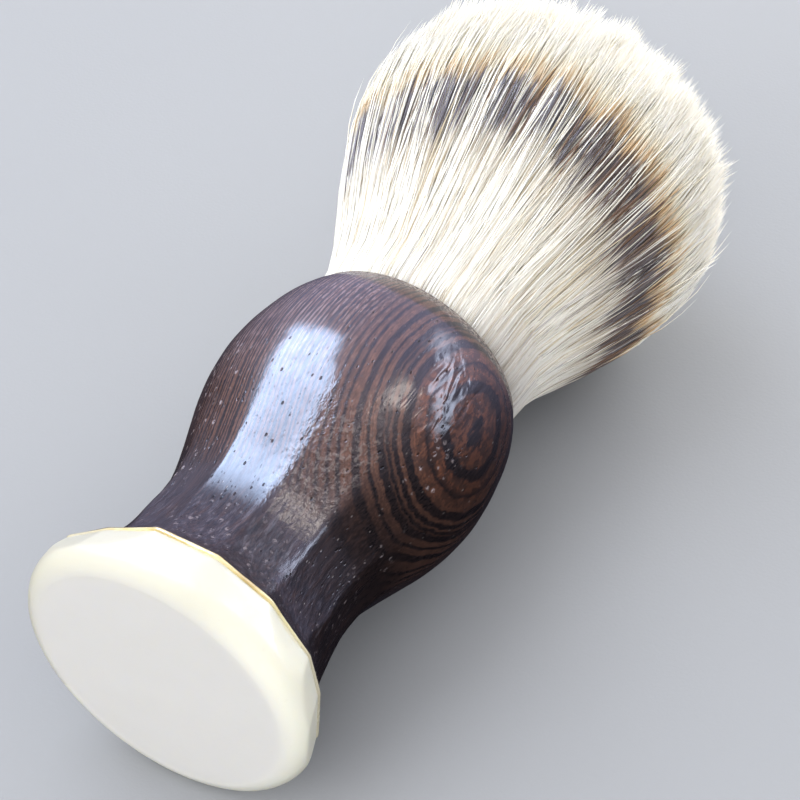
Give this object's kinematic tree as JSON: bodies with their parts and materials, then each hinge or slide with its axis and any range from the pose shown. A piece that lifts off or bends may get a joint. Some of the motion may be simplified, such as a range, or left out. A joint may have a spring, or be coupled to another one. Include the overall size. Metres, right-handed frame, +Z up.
{
  "type": "shaving brush",
  "caption": "Wet shaving brush: bulbous dark wood handle with a faceted neck on a pale resin foot, and a domed badger hair knot glued into its socket.",
  "frame": {"origin": "centre of the foot's flat underside, with the brush standing upright", "axes": "+Z up along the brush axis towards the hair tips; the carved flats face +X, +Y and every 30 degrees between"},
  "size_m": [0.0452, 0.0452, 0.1035],
  "materials": {
    "wenge_wood": "glossy lacquer over open-pored dark wood with fine parallel rings",
    "ivory_resin": "polished cast resin",
    "amber_glue": "clear amber adhesive",
    "dowel_wood": "plain planed wood",
    "epoxy": "cured epoxy",
    "plug_resin": "resin-soaked hair roots",
    "binding_cord": "waxed thread",
    "badger_hair": "cream hair with a dark brown band below near-white tips"
  },
  "bodies": {
    "root": {"handle": "wenge_wood", "foot_disc": "ivory_resin", "foot_glue_line": "amber_glue", "locating_dowel": "dowel_wood", "socket_epoxy": "epoxy", "knot_plug": "plug_resin", "knot_binding": "binding_cord", "hair_knot": "badger_hair"}
  },
  "joints": []
}
